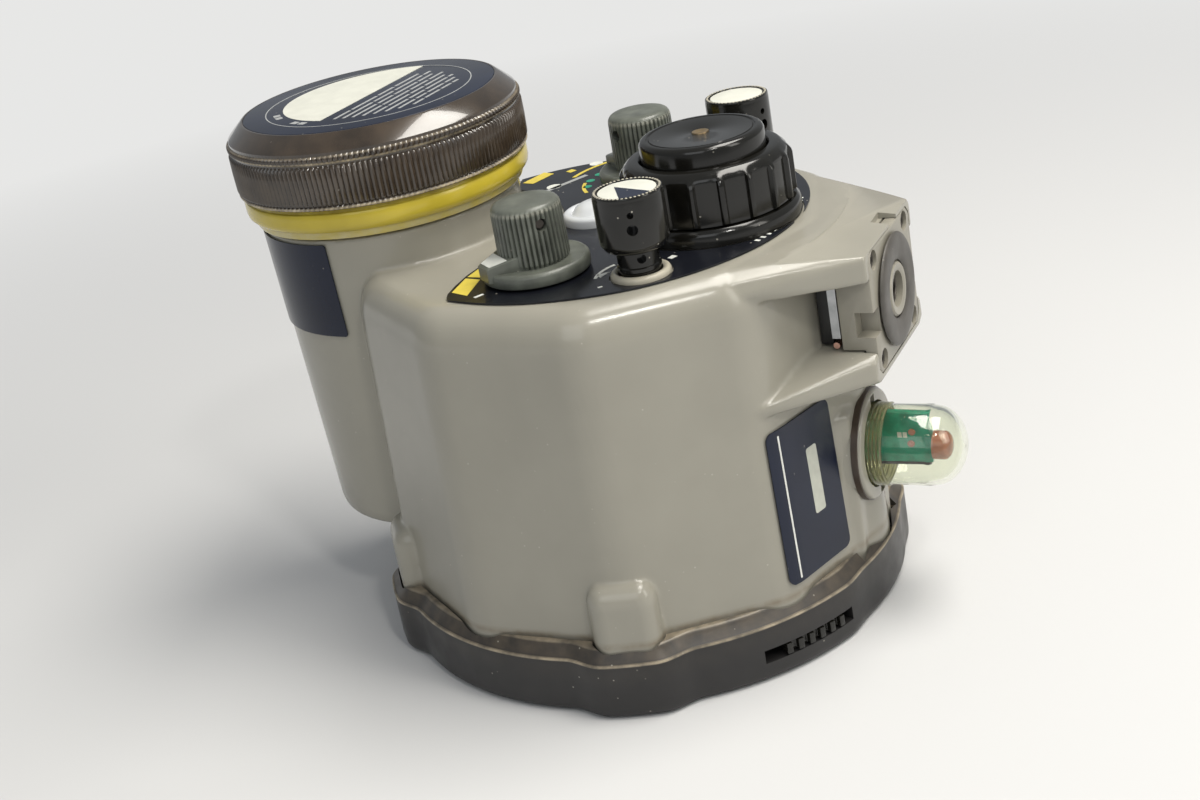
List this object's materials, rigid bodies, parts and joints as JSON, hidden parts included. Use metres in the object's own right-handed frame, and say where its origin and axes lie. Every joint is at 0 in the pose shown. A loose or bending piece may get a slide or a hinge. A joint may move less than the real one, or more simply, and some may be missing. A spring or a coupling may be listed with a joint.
{
  "type": "underwater strobe",
  "caption": "Round-bodied underwater camera strobe with a screw-capped battery tube, rear dials, a capped sync port, a light sensor and a bolted arm mount.",
  "frame": {"origin": "centre of the whole object's box, on the plane that the front bezel stands on", "axes": "+Z from the flash window towards the rear control panel, +X from the battery tube towards the arm mount"},
  "size_m": [0.1368, 0.1024, 0.1005],
  "materials": {
    "housing_plastic": "warm grey moulded plastic, semi-gloss",
    "bezel_plastic": "charcoal moulded plastic, worn",
    "cap_plastic": "smoky brown, slightly see-through",
    "sleeve_plastic": "yellow, see-through",
    "black_plastic": "gloss black",
    "knob_plastic": "slate grey-green, satin",
    "label_film": "navy printed film",
    "clear_plastic": "clear, faintly yellow",
    "window_clear": "clear",
    "lamp_glass": "frosted lamp glass",
    "lamp_lens": "white lens",
    "seal_rubber": "black seal",
    "ring_rubber": "dark grey, matt",
    "reflector_metal": "bright reflector",
    "board": "green circuit board",
    "photodiode_resin": "amber resin",
    "capacitor_can": "sleeved aluminium can",
    "transformer_tape": "yellow tape",
    "cell_wrap": "plain wrapped steel cell",
    "holder_plastic": "white",
    "contact_brass": "plain",
    "steel": "stainless"
  },
  "bodies": {
    "housing": {"rear_housing": "housing_plastic", "mount_block": "housing_plastic", "front_lock_collar": "housing_plastic", "rear_lock_collar": "housing_plastic", "front_bezel": "bezel_plastic", "battery_sleeve": "sleeve_plastic", "sync_socket": "black_plastic", "panel_label": "label_film", "nameplate": "label_film", "tube_label": "label_film", "sensor_tube": "clear_plastic", "front_window": "window_clear", "flash_tube_left": "lamp_glass", "flash_tube_right": "lamp_glass", "focus_lamp": "lamp_glass", "ready_lamp": "lamp_lens", "window_gasket": "seal_rubber", "battery_o_ring": "seal_rubber", "mount_ring": "ring_rubber", "reflector": "reflector_metal", "main_board": "board", "control_board": "board", "sensor_board": "board", "sensor_photodiode": "photodiode_resin", "main_capacitor": "capacitor_can", "trigger_transformer": "transformer_tape", "aa_cell_1": "cell_wrap", "aa_cell_2": "cell_wrap", "aa_cell_3": "cell_wrap", "aa_cell_4": "cell_wrap", "cell_holder": "holder_plastic", "bottom_contact_plate": "contact_brass", "mount_pin": "contact_brass", "mount_nut_plate": "steel", "mount_screw_1": "steel", "bezel_screw_1": "steel", "mount_screw_2": "steel", "bezel_screw_2": "steel", "mount_screw_3": "steel", "bezel_screw_3": "steel", "mount_screw_4": "steel", "bezel_screw_4": "steel"},
    "cap_carrier": {"cap_contact_plate": "contact_brass"},
    "cap": {"battery_cap": "cap_plastic", "cap_label": "label_film"},
    "sync_plug": {"sync_plug": "black_plastic"},
    "sync_nut": {"sync_nut": "black_plastic"},
    "mode_dial": {"mode_knob": "knob_plastic", "mode_shaft": "steel", "mode_grub_screw": "steel"},
    "power_dial": {"power_knob": "knob_plastic", "power_shaft": "steel", "power_grub_screw": "steel"},
    "front_lock_slider": {"front_lock_rod": "black_plastic"},
    "front_lock": {"front_lock_knob": "black_plastic"},
    "rear_lock_slider": {"rear_lock_rod": "black_plastic"},
    "rear_lock": {"rear_lock_knob": "black_plastic"},
    "filter_catch": {"filter_catch": "black_plastic"}
  },
  "joints": [
    {"name": "battery_cap_lift", "type": "slide", "parent": "housing", "child": "cap_carrier", "axis": [0, 0, 1], "range_m": [0, 0.004]},
    {"name": "battery_cap_turn", "type": "hinge", "parent": "cap_carrier", "child": "cap", "pos_m": [-0.04008, 0, 0.08], "axis": [0, 0, 1], "range_deg": [0, 360]},
    {"name": "sync_plug_lift", "type": "slide", "parent": "housing", "child": "sync_plug", "axis": [0, 0, 1], "range_m": [0, 0.002]},
    {"name": "sync_nut_turn", "type": "hinge", "parent": "sync_plug", "child": "sync_nut", "pos_m": [0.02597, 0, 0.08], "axis": [0, 0, 1], "range_deg": [0, 360]},
    {"name": "mode_knob_turn", "type": "hinge", "parent": "housing", "child": "mode_dial", "pos_m": [0.00277, -0.0254, 0.08], "axis": [0, 0, 1], "range_deg": [-180, 0]},
    {"name": "power_knob_turn", "type": "hinge", "parent": "housing", "child": "power_dial", "pos_m": [0.00277, 0.0254, 0.08], "axis": [0, 0, 1], "range_deg": [-110, 150]},
    {"name": "front_lock_push", "type": "slide", "parent": "housing", "child": "front_lock_slider", "axis": [0, 0, 1], "range_m": [-0.0022, 0]},
    {"name": "front_lock_turn", "type": "hinge", "parent": "front_lock_slider", "child": "front_lock", "pos_m": [0.02287, -0.0266, 0.08], "axis": [0, 0, 1], "range_deg": [-90, 0]},
    {"name": "rear_lock_push", "type": "slide", "parent": "housing", "child": "rear_lock_slider", "axis": [0, 0, 1], "range_m": [-0.0022, 0]},
    {"name": "rear_lock_turn", "type": "hinge", "parent": "rear_lock_slider", "child": "rear_lock", "pos_m": [0.02287, 0.0266, 0.08], "axis": [0, 0, 1], "range_deg": [0, 90]},
    {"name": "filter_catch_slide", "type": "hinge", "parent": "housing", "child": "filter_catch", "pos_m": [0.00277, 0, 0.0049], "axis": [0, 0, 1], "range_deg": [-4.5, 2.3]}
  ],
  "couplings": [
    {"joint": "battery_cap_lift", "follows": "battery_cap_turn", "m_per_rad": 0.00063662},
    {"joint": "sync_plug_lift", "follows": "sync_nut_turn", "m_per_rad": 0.00031831}
  ]
}
